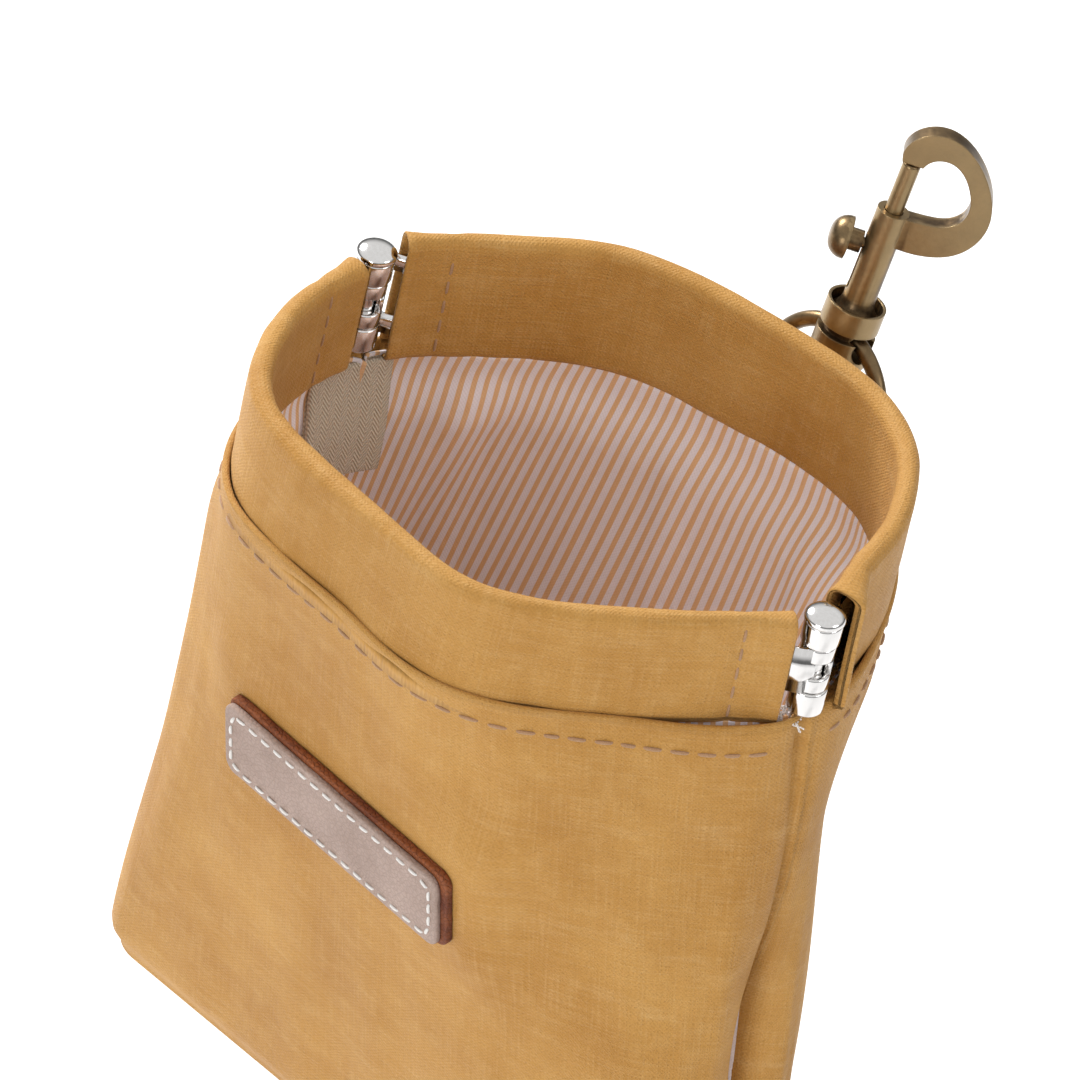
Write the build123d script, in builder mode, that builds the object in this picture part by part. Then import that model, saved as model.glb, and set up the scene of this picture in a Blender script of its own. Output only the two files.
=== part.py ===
"""Treat pouch: a canvas bag whose mouth is held by a hinged spring frame, hung from a swivel bolt snap.

Millimetres, +Z up, X from the left hinge to the right hinge, +Y towards the wearer (the back).
The origin is the middle of the snap's hook opening, where the pouch hangs. Sizes below are given
in the pouch's own coordinates, measured from the middle of its bottom, and at() turns them over.
"""
from build123d import *
import math
import os

os.makedirs("parts", exist_ok=True)

# ---------------------------------------------------------------- driving dimensions
# mouth: plan of the two spring strips, from the left hinge to the right hinge
hinge_x = 41.6
front_points = [(-38.6, -18.5), (-28, -32.3), (-6, -35.2), (13, -34.4), (28, -20.5)]
back_points = [(-33, 14), (-21, 27.5), (2, 34.4), (19, 34.1), (32, 22.4)]
front_line_points = [(-hinge_x, 0), *front_points, (hinge_x, 0)]
back_line_points = [(-hinge_x, 0), *back_points, (hinge_x, 0)]

# casing that each strip slides in
casing_low = 100.5
front_casing_high, back_casing_high = 117.3, 119.2
casing_half = 1.6
channel_half = 0.5
channel_low, channel_high = 101.6, 116.6
casing_start, casing_stop = 0.03, 0.97

# spring strips and their knuckles
strip_half = 0.25
strip_low, strip_high = 102.5, 115.5
strip_start, strip_stop = 0.035, 0.965
tongue_half, tongue_grip, tongue_margin = 0.2, 0.006, 0.2
knuckle_radius = 2.3
top_knuckle_radius = 2.55
knuckle_bore = 1.25
back_knuckles = [(101.9, 105.6), (112.9, 116.3)]
front_knuckles = [(105.7, 112.8)]

# hinge pins
pin_radius = 1.2
pin_low, pin_neck, pin_top = 101.6, 116.4, 118.0
pin_head_radius = 2.7
pin_dome = 1.3
pin_foot_radius, pin_foot_height = 1.8, 0.2

# bag: canvas outside, cotton lining inside
body_margin = 2.6
canvas = 1.2
lining_gap = 0.3
lining = 0.6
bottom_half_x, bottom_half_y = 52.0, 14.0
bottom_roundness = 0.42
bottom_end_share = 2.2
outline_points = 28

# stitching
thread_radius = 0.25
stitch_length = 2.4
stitch_pitch = 3.3
topstitch_z = 97.3
thread_gap = 0.15
end_stitch_places = (0.083, 0.917)
end_stitch_gap, end_stitch_low, end_stitch_count = 0.05, 0.8, 5

# leather label on the front
label_width, label_height = 42.0, 13.5
label_base_thickness, label_face_thickness = 1.1, 0.9
label_corner = 1.8
label_x, label_z = -3.1, 63.8
label_face_margin_x, label_face_margin_z = 1.0, 0.8
label_turn = 2.0
label_gap = 0.45
label_stitch_inset, label_stitch_corner = 1.5, 1.0
label_stitch_count = 44
label_stitch_length, label_stitch_width, label_stitch_rise = 1.7, 0.4, 0.3
label_stitch_gap = 0.02

# webbing tab inside, at the left side seam
webbing_width, webbing_thickness = 12.0, 0.8
webbing_x, webbing_y = -38.6, -2.2
webbing_angle = 75
webbing_low, webbing_high = 83.0, 100.0

# ring on the back, standing on the tab in the casing seam
ring_radius, ring_wire = 9.65, 1.05
ring_lean = 12
ring_x = 1.2
ring_low_y, ring_low_z = 39.2, 96.5
tab_half_width = 4.0
tab_hole, tab_outer = 1.95, 2.35
tab_leaf_y, tab_leaf_thickness = 37.65, 1.1
tab_foot_y, tab_foot_low, tab_foot_high = 36.85, 100.9, 102.1
tab_stitch_z, tab_stitch_start, tab_stitch_pitch = 100.2, -3.0, 1.6
tab_stitch_length, tab_stitch_count = 1.2, 4
tab_thread_radius = 0.2

# swivel eye, measured along the snap from the top of the ring
eye_bottom, eye_shoulder = -4.9, -3.6
eye_waist_low, eye_waist_high, eye_top = 0.1, 1.25, 4.5
eye_floor = 2.2
eye_radius, eye_waist_radius, cup_radius = 3.9, 2.9, 3.5
eye_hole, eye_hole_t = 1.95, -0.7
stem_radius, stem_neck, stem_head_radius, stem_top = 1.0, 3.4, 1.2, 4.0

# snap body
hook_turn = 40
foot_bottom, foot_rim_top, foot_top = 2.45, 3.1, 5.5
foot_radius, foot_waist_reach, foot_waist_t = 3.15, 0.28, 4.1
stem_clearance = 0.06
barrel_radius, barrel_top = 2.15, 18.8
bore_radius, bore_floor = 1.28, 3.35
hook_mid = (5.3, 24.3)
hook_tip_half = 1.4
hook_outer = [(-1.5, 28.9), (0.1, 30.9), (3.0, 31.8), (6.5, 30.6), (9.6, 27.6), (11.4, 24.3)]
hook_outer_low = [(11.9, 21.6), (11.2, 18.5), (9.2, 16.0), (6.2, 14.6), (2.6, 14.2)]
hook_inner = [(2.4, 18.7), (5.0, 18.9), (7.2, 19.6), (8.6, 21.2), (8.8, 23.2), (8.0, 25.4)]
hook_inner_high = [(6.5, 27.4), (4.6, 28.4), (2.7, 28.1)]
hook_thickness = 2.6
hook_tip_t = 26.5
bore_overlap = 1.0

# bolt and knob
bolt_radius = 1.2
bolt_bottom, bolt_top = 11.6, 26.2
bolt_travel = 6.0
bolt_nose = 0.4
knob_fit = 0.05
knob_t = 13.0
knob_stub_radius, knob_neck_radius, knob_radius = 0.7, 1.5, 2.85
knob_stub_start, knob_neck_start, knob_face, knob_end = 0.1, 2.35, 4.1, 6.6
knob_dome = 2.2
slot_half = 0.85
spring_wire, spring_radius, spring_turns = 0.15, 1.0, 5
spring_clearance = 0.05

# ---------------------------------------------------------------- frame
snap_axis = Vector(0, math.sin(math.radians(ring_lean)), math.cos(math.radians(ring_lean)))
back_of_snap = Vector(0, snap_axis.Z, -snap_axis.Y)
sideways, turn_back = math.cos(math.radians(hook_turn)), math.sin(math.radians(hook_turn))
hook_side = Vector(1, 0, 0) * sideways + back_of_snap * turn_back
ring_low = Vector(ring_x, ring_low_y, ring_low_z)
ring_high = ring_low + snap_axis * 2 * ring_radius
hook_centre = ring_high + hook_side * hook_mid[0] + snap_axis * hook_mid[1]


def at(x, y, z):
    """A point given in the pouch's own coordinates, as seen from the hook opening."""
    return Vector(x, y, z) - hook_centre


def level(z):
    """The horizontal plane at a height of the pouch."""
    return Plane(at(0, 0, z))


side_plane = Plane(at(ring_x, 0, 0), x_dir=(0, 1, 0), z_dir=(1, 0, 0))
eye_plane = Plane(ring_high - hook_centre, x_dir=(1, 0, 0), z_dir=Vector(1, 0, 0).cross(snap_axis))
hook_plane = Plane(ring_high - hook_centre, x_dir=hook_side, z_dir=hook_side.cross(snap_axis))
snap_line = Axis(ring_high - hook_centre, snap_axis)


def save(builder, name):
    """Labels a finished sub-part and writes its STEP file."""
    builder.part.label = name
    export_step(builder.part, f"parts/{name}.step")


# ---------------------------------------------------------------- outlines
front_line = Spline(*front_line_points)
back_line = Spline(*back_line_points)


def beside(line, shift, start, stop, count=17):
    """Points along a plan line, moved sideways away from the middle of the mouth."""
    points = []
    for i in range(count):
        u = start + (stop - start) * i / (count - 1)
        along = line % u
        out = Vector(along.Y, -along.X) if line is front_line else Vector(-along.Y, along.X)
        points.append(line @ u + out * shift)
    return points


def band_face(line, inner, outer, z, start=0.0, stop=1.0):
    """A curved band in plan, between two sideways shifts of a strip line."""
    near = beside(line, inner, start, stop)
    far = beside(line, outer, start, stop)
    with BuildSketch(level(z)) as band:
        with BuildLine():
            Spline(*near)
            Line(near[-1], far[-1])
            Spline(*far)
            Line(far[0], near[0])
        make_face()
    return band.sketch


mouth_ring = Spline(*front_line_points, *back_line_points[-2:0:-1], periodic=True)


def rounded_box_point(angle):
    """A point of the bottom outline: a superellipse, so that its ends are round."""
    c, s = math.cos(angle), math.sin(angle)
    return (
        bottom_half_x * math.copysign(abs(c) ** bottom_roundness, c),
        bottom_half_y * math.copysign(abs(s) ** bottom_roundness, s),
    )


def outline_loop(z, inset):
    """Points of the bag's plan outline at a height, moved inward by inset."""
    share = z / casing_low
    loop = []
    for i in range(outline_points):
        u = i / outline_points
        along = mouth_ring % u
        top = mouth_ring @ u + Vector(along.Y, -along.X) * (body_margin - inset)
        angle = math.atan2(top.Y / bottom_half_y, top.X / bottom_half_x * bottom_end_share)
        low_x, low_y = rounded_box_point(angle)
        low_x *= 1 - inset / bottom_half_x
        low_y *= 1 - inset / bottom_half_y
        loop.append((low_x + (top.X - low_x) * share, low_y + (top.Y - low_y) * share))
    return loop


def outline_face(z, inset):
    """The same outline as a face in its own horizontal plane."""
    with BuildSketch(level(z)) as outline:
        with BuildLine():
            Spline(*outline_loop(z, inset), periodic=True)
        make_face()
    return outline.sketch


def bag_half(name, side, outer_inset, thickness):
    """One half of a bag skin, front (side -1) or back (side +1), closed at the bottom."""
    floor = outer_inset
    with BuildPart() as skin:
        loft([outline_face(floor, outer_inset), outline_face(casing_low, outer_inset)])
        inner = outer_inset + thickness
        loft([outline_face(floor + thickness, inner), outline_face(casing_low, inner)], mode=Mode.SUBTRACT)
        split(bisect_by=Plane(at(0, 0, 0), z_dir=(0, side, 0)), keep=Keep.TOP)
    save(skin, name)


# ---------------------------------------------------------------- canvas panels and lining
lining_inset = canvas + lining_gap
for half_name, half_side in (("front", -1), ("back", 1)):
    bag_half(f"{half_name}_panel", half_side, 0.0, canvas)
    bag_half(f"{half_name}_lining", half_side, lining_inset, lining)

# ---------------------------------------------------------------- casings
for casing_name, casing_line, casing_high in (
    ("front_casing", front_line, front_casing_high),
    ("back_casing", back_line, back_casing_high),
):
    with BuildPart() as casing:
        sleeve = band_face(casing_line, -casing_half, casing_half, casing_low, casing_start, casing_stop)
        extrude(sleeve, amount=casing_high - casing_low)
        channel = band_face(casing_line, -channel_half, channel_half, channel_low)
        extrude(channel, amount=channel_high - channel_low, mode=Mode.SUBTRACT)
    save(casing, casing_name)

# ---------------------------------------------------------------- spring strips with their knuckles
for strip_name, strip_line, knuckles in (
    ("front_spring_strip", front_line, front_knuckles),
    ("back_spring_strip", back_line, back_knuckles),
):
    with BuildPart() as strip:
        blade = band_face(strip_line, -strip_half, strip_half, strip_low, strip_start, strip_stop)
        extrude(blade, amount=strip_high - strip_low)
        for low, high in knuckles:
            for u, pin_x in ((strip_start + tongue_grip, -hinge_x), (strip_stop - tongue_grip, hinge_x)):
                reach = strip_line @ u - Vector(pin_x, 0)
                tongue_low = max(low, strip_low) + tongue_margin
                tongue_high = min(high, strip_high) - tongue_margin
                tongue_frame = Plane(at(pin_x, 0, tongue_low), x_dir=reach, z_dir=(0, 0, 1))
                with BuildSketch(tongue_frame) as tongue:
                    with Locations((reach.length / 2, 0)):
                        Rectangle(reach.length, 2 * tongue_half)
                extrude(amount=tongue_high - tongue_low)
            radius = top_knuckle_radius if high > strip_high else knuckle_radius
            with BuildSketch(level(low)) as barrels:
                with Locations((-hinge_x, 0), (hinge_x, 0)):
                    Circle(radius)
            extrude(amount=high - low)
        with BuildSketch(level(pin_low)) as bores:
            with Locations((-hinge_x, 0), (hinge_x, 0)):
                Circle(knuckle_bore)
        extrude(amount=pin_top - pin_low, mode=Mode.SUBTRACT)
    save(strip, strip_name)

# ---------------------------------------------------------------- hinge pins
for pin_name, pin_x in (("left_hinge_pin", -hinge_x), ("right_hinge_pin", hinge_x)):
    with BuildPart() as pin:
        for radius, low, high in (
            (pin_foot_radius, pin_low, pin_low + pin_foot_height),
            (pin_radius, pin_low, pin_neck),
            (pin_head_radius, pin_neck, pin_top),
        ):
            with BuildSketch(level(low)) as step:
                with Locations((pin_x, 0)):
                    Circle(radius)
            extrude(amount=high - low)
        fillet(pin.faces().sort_by(Axis.Z)[-1].edges(), pin_dome)
    save(pin, pin_name)

# ---------------------------------------------------------------- topstitch rows on the bag
topstitch_loop = Spline(*outline_loop(topstitch_z, -thread_radius - thread_gap), periodic=True)
stitch_count = int(topstitch_loop.length / stitch_pitch)
for row_name, row_side in (("front_topstitch", -1), ("back_topstitch", 1)):
    with BuildPart() as row:
        for i in range(stitch_count):
            start = topstitch_loop @ (i / stitch_count)
            along = topstitch_loop % (i / stitch_count)
            clear_of_seam = abs(start.X) < hinge_x - 2
            clear_of_tab = row_side < 0 or abs(start.X - ring_x) > tab_half_width + stitch_pitch
            if start.Y * row_side > 0 and clear_of_seam and clear_of_tab:
                with BuildSketch(Plane(at(start.X, start.Y, topstitch_z), z_dir=along)) as thread:
                    Circle(thread_radius)
                extrude(amount=stitch_length)
    save(row, row_name)

# ---------------------------------------------------------------- stitches that close the casing ends
with BuildPart() as end_rows:
    for end_line in (front_line, back_line):
        for u in end_stitch_places:
            spot = beside(end_line, casing_half + thread_radius + end_stitch_gap, u, 1.0)[0]
            for i in range(end_stitch_count):
                low = casing_low + end_stitch_low + i * stitch_pitch
                with BuildSketch(Plane(at(spot.X, spot.Y, low))) as thread:
                    Circle(thread_radius)
                extrude(amount=stitch_length)
save(end_rows, "casing_end_stitches")

# ---------------------------------------------------------------- leather label
panel_slope = (abs(front_line_points[3][1]) + body_margin - bottom_half_y) / casing_low
label_lean = math.atan(panel_slope)
turn = math.radians(label_turn)
label_x_dir = Vector(math.cos(turn), -math.sin(turn), 0)
label_facing = Vector(-math.sin(turn), -math.cos(turn), 0)
label_out = label_facing * math.cos(label_lean) - Vector(0, 0, math.sin(label_lean))
panel_y = -(bottom_half_y + panel_slope * label_z)
label_back = at(label_x, panel_y, label_z) + label_out * label_gap
label_plane = Plane(label_back, x_dir=label_x_dir, z_dir=label_out)

with BuildPart() as label_base:
    with BuildSketch(label_plane):
        RectangleRounded(label_width, label_height, label_corner)
    extrude(amount=label_base_thickness)
save(label_base, "label_base")

face_width, face_height = label_width - label_face_margin_x, label_height - label_face_margin_z
face_place = (-label_face_margin_x / 2, -label_face_margin_z / 2)
with BuildPart() as label_face:
    with BuildSketch(label_plane.offset(label_base_thickness)):
        with Locations(face_place):
            RectangleRounded(face_width, face_height, label_corner)
    extrude(amount=label_face_thickness)
save(label_face, "label_face")

label_front = label_plane.offset(label_base_thickness + label_face_thickness + label_stitch_gap)
seam_half_x = face_width / 2 - label_stitch_inset
seam_half_y = face_height / 2 - label_stitch_inset
with BuildLine(label_front) as stitch_path:
    with Locations(face_place):
        FilletPolyline(
            (-seam_half_x, -seam_half_y),
            (seam_half_x, -seam_half_y),
            (seam_half_x, seam_half_y),
            (-seam_half_x, seam_half_y),
            radius=label_stitch_corner,
            close=True,
        )

with BuildPart() as label_stitching:
    seam_wire = stitch_path.wires()[0]
    for i in range(label_stitch_count):
        here = seam_wire @ (i / label_stitch_count)
        along = seam_wire % (i / label_stitch_count)
        with BuildSketch(Plane(here, x_dir=along, z_dir=label_out)) as thread:
            SlotOverall(label_stitch_length, label_stitch_width)
        extrude(amount=label_stitch_rise)
save(label_stitching, "label_stitching")

# ---------------------------------------------------------------- webbing tab inside
webbing_turn = math.radians(webbing_angle)
webbing_along = Vector(math.cos(webbing_turn), math.sin(webbing_turn), 0)
webbing_across = Vector(-webbing_along.Y, webbing_along.X, 0)
with BuildPart() as webbing:
    with BuildSketch(Plane(at(webbing_x, webbing_y, 0), x_dir=webbing_across, z_dir=webbing_along)) as fold:
        with Locations((0, (webbing_low + webbing_high) / 2)):
            Rectangle(2 * webbing_thickness, webbing_high - webbing_low)
        with Locations((0, webbing_low)):
            Circle(webbing_thickness)
    extrude(amount=webbing_width / 2, both=True)
save(webbing, "inner_webbing_tab")

# ---------------------------------------------------------------- tab that holds the ring
with BuildPart() as ring_tab:
    with BuildSketch(side_plane) as tab_profile:
        with Locations((ring_low_y, ring_low_z)):
            Circle(tab_outer)
        leaf_height = tab_foot_high - ring_low_z
        with Locations((tab_leaf_y + tab_leaf_thickness / 2, ring_low_z + leaf_height / 2)):
            Rectangle(tab_leaf_thickness, leaf_height)
        foot_length = tab_leaf_y + tab_leaf_thickness - tab_foot_y
        with Locations((tab_foot_y + foot_length / 2, (tab_foot_low + tab_foot_high) / 2)):
            Rectangle(foot_length, tab_foot_high - tab_foot_low)
        with Locations((ring_low_y, ring_low_z)):
            Circle(tab_hole, mode=Mode.SUBTRACT)
    extrude(amount=tab_half_width, both=True)
save(ring_tab, "ring_tab")

with BuildPart() as tab_stitching:
    for i in range(tab_stitch_count):
        stitch_y = tab_leaf_y + tab_leaf_thickness + thread_radius
        start = at(ring_x + tab_stitch_start + i * tab_stitch_pitch, stitch_y, tab_stitch_z)
        with BuildSketch(Plane(start, z_dir=(1, 0, 0))) as thread:
            Circle(tab_thread_radius)
        extrude(amount=tab_stitch_length)
save(tab_stitching, "ring_tab_stitching")

# ---------------------------------------------------------------- ring
ring_centre = ring_low + snap_axis * ring_radius - hook_centre
ring_plane = Plane(ring_centre, x_dir=(1, 0, 0), z_dir=Vector(1, 0, 0).cross(snap_axis))
with BuildPart() as ring:
    with BuildLine(ring_plane) as ring_path:
        CenterArc((0, 0), ring_radius, 0, 360)
    with BuildSketch(Plane(ring_path.line @ 0, z_dir=ring_path.line % 0)) as wire:
        Circle(ring_wire)
    sweep(path=ring_path.line)
save(ring, "ring")

# ---------------------------------------------------------------- swivel eye
with BuildPart() as swivel_eye:
    with BuildSketch(eye_plane) as eye_profile:
        with BuildLine():
            EllipticalCenterArc((0, eye_shoulder), eye_radius, eye_shoulder - eye_bottom, 270, arc_size=90)
            Polyline(
                (eye_radius, eye_shoulder),
                (eye_radius, eye_waist_low),
                (eye_waist_radius, eye_waist_low),
                (eye_waist_radius, eye_waist_high),
                (eye_radius, eye_waist_high),
                (eye_radius, eye_top),
                (cup_radius, eye_top),
                (cup_radius, eye_floor),
                (stem_radius, eye_floor),
                (stem_radius, stem_neck),
                (stem_head_radius, stem_neck),
                (stem_head_radius, stem_top),
                (0, stem_top),
                (0, eye_bottom),
            )
        make_face()
    revolve(axis=snap_line)
    hole_start = ring_high + snap_axis * eye_hole_t - hook_centre - Vector(eye_radius + 1, 0, 0)
    with BuildSketch(Plane(hole_start, z_dir=(1, 0, 0))) as hole:
        Circle(eye_hole)
    extrude(amount=2 * eye_radius + 2, mode=Mode.SUBTRACT)
save(swivel_eye, "swivel_eye")

# ---------------------------------------------------------------- snap body: foot, barrel and hook
with BuildPart() as snap_body:
    with BuildSketch(hook_plane) as foot_profile:
        with BuildLine():
            Polyline(
                (barrel_radius, foot_top),
                (barrel_radius, barrel_top),
                (0, barrel_top),
                (0, foot_bottom),
                (foot_radius, foot_bottom),
                (foot_radius, foot_rim_top),
            )
            foot_waist = (barrel_radius + foot_waist_reach, foot_waist_t)
            ThreePointArc((foot_radius, foot_rim_top), foot_waist, (barrel_radius, foot_top))
        make_face()
    revolve(axis=snap_line)
    hook_tip_left, hook_tip_right = (-hook_tip_half, hook_tip_t), (hook_tip_half, hook_tip_t)
    root_low, root_high = (0, hook_outer_low[-1][1]), (0, hook_inner[0][1])
    with BuildSketch(hook_plane):
        with BuildLine():
            Spline(hook_tip_left, *hook_outer, *hook_outer_low)
            Polyline(hook_outer_low[-1], root_low, root_high, hook_inner[0])
            Spline(*hook_inner, *hook_inner_high, hook_tip_right)
            Line(hook_tip_right, hook_tip_left)
        make_face()
    extrude(amount=hook_thickness / 2, both=True)
    with BuildSketch(Plane(ring_high + snap_axis * bore_floor - hook_centre, z_dir=snap_axis)):
        Circle(bore_radius)
    extrude(amount=barrel_top - bore_floor + bore_overlap, mode=Mode.SUBTRACT)
    with BuildSketch(Plane(ring_high + snap_axis * foot_bottom - hook_centre, z_dir=snap_axis)):
        Circle(stem_radius + stem_clearance)
    extrude(amount=bore_floor - foot_bottom, mode=Mode.SUBTRACT)
    slot_low, slot_high = knob_t - bolt_travel - slot_half, knob_t + slot_half
    with BuildSketch(Plane(hook_plane.origin, x_dir=hook_plane.z_dir, z_dir=-hook_side)) as slot:
        with Locations((0, (slot_low + slot_high) / 2)):
            SlotOverall(slot_high - slot_low, 2 * slot_half, rotation=90)
    extrude(amount=barrel_radius + 1, mode=Mode.SUBTRACT)
save(snap_body, "snap_body")

# ---------------------------------------------------------------- bolt, knob and spring
with BuildPart() as snap_bolt:
    with BuildSketch(Plane(ring_high + snap_axis * bolt_bottom - hook_centre, z_dir=snap_axis)):
        Circle(bolt_radius)
    extrude(amount=bolt_top - bolt_bottom)
    fillet(snap_bolt.faces().sort_by(snap_line)[-1].edges(), bolt_nose)
    with BuildSketch(Plane(ring_high + snap_axis * knob_t - hook_centre, z_dir=-hook_side)):
        Circle(knob_stub_radius + knob_fit)
    extrude(amount=bolt_radius + 1, mode=Mode.SUBTRACT)
save(snap_bolt, "snap_bolt")

knob_start = ring_high + snap_axis * knob_t - hook_centre
knob_plane = Plane(knob_start, z_dir=-hook_side)
with BuildPart() as bolt_knob:
    for radius, near, far in (
        (knob_stub_radius, knob_stub_start, knob_neck_start),
        (knob_neck_radius, knob_neck_start, knob_face),
        (knob_radius, knob_face, knob_end),
    ):
        with BuildSketch(knob_plane.offset(near)) as step:
            Circle(radius)
        extrude(amount=far - near)
    fillet(bolt_knob.faces().sort_by(Axis(knob_start, -hook_side))[-1].edges(), knob_dome)
save(bolt_knob, "bolt_knob")

spring_low = stem_top + spring_wire + spring_clearance
spring_high = bolt_bottom - spring_wire - spring_clearance
with BuildPart() as bolt_spring:
    rise = spring_high - spring_low
    spring_foot = ring_high + snap_axis * spring_low - hook_centre
    with BuildLine() as coil:
        Helix(rise / spring_turns, rise, spring_radius, center=spring_foot, direction=snap_axis)
    with BuildSketch(Plane(coil.line @ 0, z_dir=coil.line % 0)):
        Circle(spring_wire)
    sweep(path=coil.line, is_frenet=True)
save(bolt_spring, "bolt_spring")

print("strip lengths", round(front_line.length, 1), round(back_line.length, 1))
print("hook centre in pouch coordinates", hook_centre)
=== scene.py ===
"""Treat pouch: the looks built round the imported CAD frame.

Lengths named in millimetres are in the pouch's own coordinates: X from the left hinge to the right
hinge, Y towards the back, Z up from the bottom. place() turns them into metres in the row frame.
"""

import math
import random

import bmesh
import bpy
import numpy as np
from mathutils import Matrix, Vector, noise


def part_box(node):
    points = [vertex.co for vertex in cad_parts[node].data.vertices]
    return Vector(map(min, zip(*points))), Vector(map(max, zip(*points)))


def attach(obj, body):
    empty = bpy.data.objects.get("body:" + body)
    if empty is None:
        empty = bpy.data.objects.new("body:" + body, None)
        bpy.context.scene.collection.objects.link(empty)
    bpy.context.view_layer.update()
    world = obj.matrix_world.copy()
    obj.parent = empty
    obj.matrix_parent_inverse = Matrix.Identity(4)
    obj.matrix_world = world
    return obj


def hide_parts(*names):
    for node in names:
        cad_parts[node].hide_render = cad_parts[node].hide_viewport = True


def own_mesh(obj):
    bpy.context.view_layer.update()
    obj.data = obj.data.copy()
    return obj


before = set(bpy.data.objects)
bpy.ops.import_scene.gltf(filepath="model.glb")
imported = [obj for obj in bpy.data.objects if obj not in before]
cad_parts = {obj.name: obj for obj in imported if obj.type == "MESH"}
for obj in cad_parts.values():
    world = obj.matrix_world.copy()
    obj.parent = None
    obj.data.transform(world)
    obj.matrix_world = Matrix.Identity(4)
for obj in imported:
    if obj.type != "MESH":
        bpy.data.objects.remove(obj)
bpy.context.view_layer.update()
random.seed(7)

# ---------------------------------------------------------------- the pouch's own coordinates
MM = 0.001
pin_low, pin_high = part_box("left_hinge_pin")
right_low, right_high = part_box("right_hinge_pin")
front_low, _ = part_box("front_panel")
ORIGIN = Vector(((pin_low.x + right_high.x) / 2, (pin_low.y + pin_high.y) / 2, front_low.z))
HINGE_X = ((right_low.x + right_high.x) / 2 - ORIGIN.x) / MM
CAP_TOP = (pin_high.z - ORIGIN.z) / MM
CASING_LOW = (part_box("front_casing")[0].z - ORIGIN.z) / MM
CASING_HIGHS = [(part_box(name)[1].z - ORIGIN.z) / MM for name in ("front_casing", "back_casing")]

LEFT_HINGE, RIGHT_HINGE = (-HINGE_X, 0), (HINGE_X, 0)
FRONT_LINE = [LEFT_HINGE, (-38.6, -18.5), (-28, -32.3), (-6, -35.2), (13, -34.4), (28, -20.5), RIGHT_HINGE]
BACK_LINE = [LEFT_HINGE, (-33, 14), (-21, 27.5), (2, 34.4), (19, 34.1), (32, 22.4), RIGHT_HINGE]
BOTTOM_HALF_X, BOTTOM_HALF_Y, BOTTOM_CORNER = 52.0, 14.0, 5.5
BOTTOM_STEP = 0.25
PANEL_MARGIN = 2.6
CASING_HALF = 1.6
CANVAS_THICKNESS, LINING_THICKNESS = 0.8, 0.35


def place(x, y, z):
    """A point in the pouch's own millimetres, in metres in the row frame."""
    return ORIGIN + Vector((x, y, z)) * MM


def own(point):
    """The reverse of place()."""
    return (Vector(point) - ORIGIN) / MM


# ---------------------------------------------------------------- curves in plan
def run_along(points):
    """Length along a line of points, at each of them."""
    return np.concatenate([[0], np.cumsum(np.linalg.norm(np.diff(points, axis=0), axis=1))])


def corner_arcs(half_x, half_y, corner, count, first):
    """Points on the four rounded corners of a rectangle, from quarter turn first onward."""
    points = []
    for quarter in range(first, first + 4):
        x, y = ((1, 1), (-1, 1), (-1, -1), (1, -1))[quarter % 4]
        x, y = x * (half_x - corner), y * (half_y - corner)
        for k in range(count):
            angle = math.radians(90 * (quarter % 4) + 90 * k / (count - 1))
            points.append((x + corner * math.cos(angle), y + corner * math.sin(angle)))
    return points


def smooth_line(points, count, closed=False):
    """A smooth curve through a few points, evenly spaced along its length."""
    p = np.array(points, float)
    if closed:
        p = np.concatenate([p[-1:], p, p[:2]])
    else:
        p = np.concatenate([[2 * p[0] - p[1]], p, [2 * p[-1] - p[-2]]])
    fine = []
    for a, b, c, d in zip(p, p[1:], p[2:], p[3:]):
        square, cube = 2 * a - 5 * b + 4 * c - d, 3 * b - a - 3 * c + d
        for t in np.linspace(0, 1, 40, endpoint=False):
            fine.append(0.5 * (2 * b + (c - a) * t + square * t**2 + cube * t**3))
    fine.append(p[-2])
    fine = np.array(fine)
    run = run_along(fine)
    at = np.linspace(0, run[-1], count + 1 if closed else count)
    out = np.stack([np.interp(at, run, fine[:, 0]), np.interp(at, run, fine[:, 1])], 1)
    return (out[:-1] if closed else out), run[-1]


def normals_of(line, closed=False):
    """Unit normals of a plan curve, to the right of its direction."""
    if closed:
        along = np.roll(line, -1, axis=0) - np.roll(line, 1, axis=0)
    else:
        along = np.gradient(line, axis=0)
    along /= np.linalg.norm(along, axis=1)[:, None]
    return np.stack([along[:, 1], -along[:, 0]], 1)


def soft(t):
    """A smooth step from 0 to 1."""
    t = min(max(t, 0.0), 1.0)
    return t * t * (3 - 2 * t)


def ripple(x, y, z=0.0):
    """Smooth noise from about -1 to 1."""
    return noise.noise(Vector((x, y, z)))


# ---------------------------------------------------------------- mesh helpers
def add_object(name, mesh, smooth=True):
    """Puts a mesh into the scene as an object."""
    if smooth:
        mesh.polygons.foreach_set("use_smooth", [True] * len(mesh.polygons))
    obj = bpy.data.objects.new(name, mesh)
    bpy.context.scene.collection.objects.link(obj)
    return obj


def new_mesh(name, verts, faces, cloth=None, smooth=True):
    """A mesh object from points in metres; cloth gives each point's place in the weave, in mm."""
    mesh = bpy.data.meshes.new(name)
    mesh.from_pydata([tuple(v) for v in verts], [], faces)
    mesh.validate()
    if cloth is not None:
        layer = mesh.attributes.new("cloth", "FLOAT_VECTOR", "POINT")
        layer.data.foreach_set("vector", np.array(cloth, float).reshape(-1))
    return add_object(name, mesh, smooth)


def grid(name, rows, closed, cloth):
    """A sheet of quads through rows of points; closed joins each row's ends."""
    count = len(rows[0])
    verts = [p for row in rows for p in row]
    weave = [c for row in cloth for c in row]
    faces = []
    across = count if closed else count - 1
    for j in range(len(rows) - 1):
        for i in range(across):
            k = (i + 1) % count
            faces.append((j * count + i, (j + 1) * count + i, (j + 1) * count + k, j * count + k))
    return new_mesh(name, verts, faces, weave)


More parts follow.
